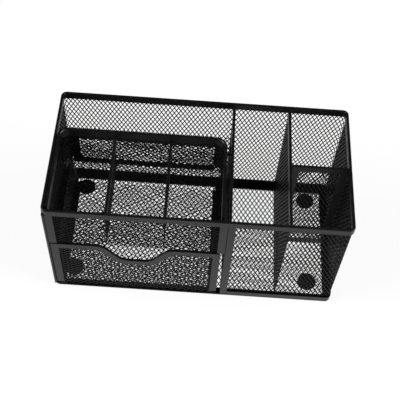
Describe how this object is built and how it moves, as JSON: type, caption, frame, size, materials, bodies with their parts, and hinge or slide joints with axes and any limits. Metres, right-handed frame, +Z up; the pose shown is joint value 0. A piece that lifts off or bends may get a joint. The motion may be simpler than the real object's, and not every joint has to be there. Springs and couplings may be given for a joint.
{
  "type": "desk pen stand with drawer",
  "caption": "Mesh desk organizer: upright pen wells beside a divided upper tray, with a scooped drawer sliding out below it.",
  "frame": {"origin": "on the desk, under the middle of the stand's outer box", "axes": "+X to the right, along the long side; +Y from the drawer front to the back; +Z up"},
  "size_m": [0.205, 0.102, 0.101],
  "materials": {
    "powder_coated_steel": "satin black powder coat",
    "foot_rubber": "matt black rubber"
  },
  "bodies": {
    "cabinet": {"back_wall_mesh": "powder_coated_steel", "base_flange": "powder_coated_steel", "base_mesh": "powder_coated_steel", "base_skirt_back": "powder_coated_steel", "base_skirt_front": "powder_coated_steel", "base_skirt_left": "powder_coated_steel", "base_skirt_right": "powder_coated_steel", "cross_divider_foot_strip": "powder_coated_steel", "cross_divider_left_strip": "powder_coated_steel", "cross_divider_mesh": "powder_coated_steel", "cross_divider_right_strip": "powder_coated_steel", "cross_divider_rim": "powder_coated_steel", "foot_pad_back_left": "foot_rubber", "foot_pad_back_right": "foot_rubber", "foot_pad_front_left": "foot_rubber", "foot_pad_front_right": "foot_rubber", "front_post": "powder_coated_steel", "front_wall_mesh": "powder_coated_steel", "left_front_edge": "powder_coated_steel", "left_wall_mesh": "powder_coated_steel", "main_divider_mesh": "powder_coated_steel", "main_divider_rim": "powder_coated_steel", "rear_shelf_mesh": "powder_coated_steel", "right_divider_mesh": "powder_coated_steel", "right_divider_rim": "powder_coated_steel", "right_wall_mesh": "powder_coated_steel", "top_rim": "powder_coated_steel", "tray_back_mesh": "powder_coated_steel", "tray_bar_left": "powder_coated_steel", "tray_bar_right": "powder_coated_steel", "tray_divider_1_mesh": "powder_coated_steel", "tray_divider_1_rim": "powder_coated_steel", "tray_divider_2_mesh": "powder_coated_steel", "tray_divider_2_rim": "powder_coated_steel", "tray_floor_mesh": "powder_coated_steel", "tray_floor_strip_left": "powder_coated_steel", "tray_floor_strip_right": "powder_coated_steel", "tray_foot_strip": "powder_coated_steel", "tray_front_mesh": "powder_coated_steel", "tray_hanger_pin": "powder_coated_steel", "tray_left_mesh": "powder_coated_steel", "tray_right_mesh": "powder_coated_steel", "tray_rim": "powder_coated_steel"},
    "drawer": {"drawer_back_mesh": "powder_coated_steel", "drawer_floor_mesh": "powder_coated_steel", "drawer_front_frame": "powder_coated_steel", "drawer_front_mesh": "powder_coated_steel", "drawer_left_mesh": "powder_coated_steel", "drawer_right_mesh": "powder_coated_steel", "drawer_rim": "powder_coated_steel", "drawer_runner_left": "powder_coated_steel", "drawer_runner_right": "powder_coated_steel"}
  },
  "joints": [
    {"name": "drawer_slide", "type": "slide", "parent": "cabinet", "child": "drawer", "axis": [0, -1, 0], "range_m": [0, 0.075]}
  ]
}
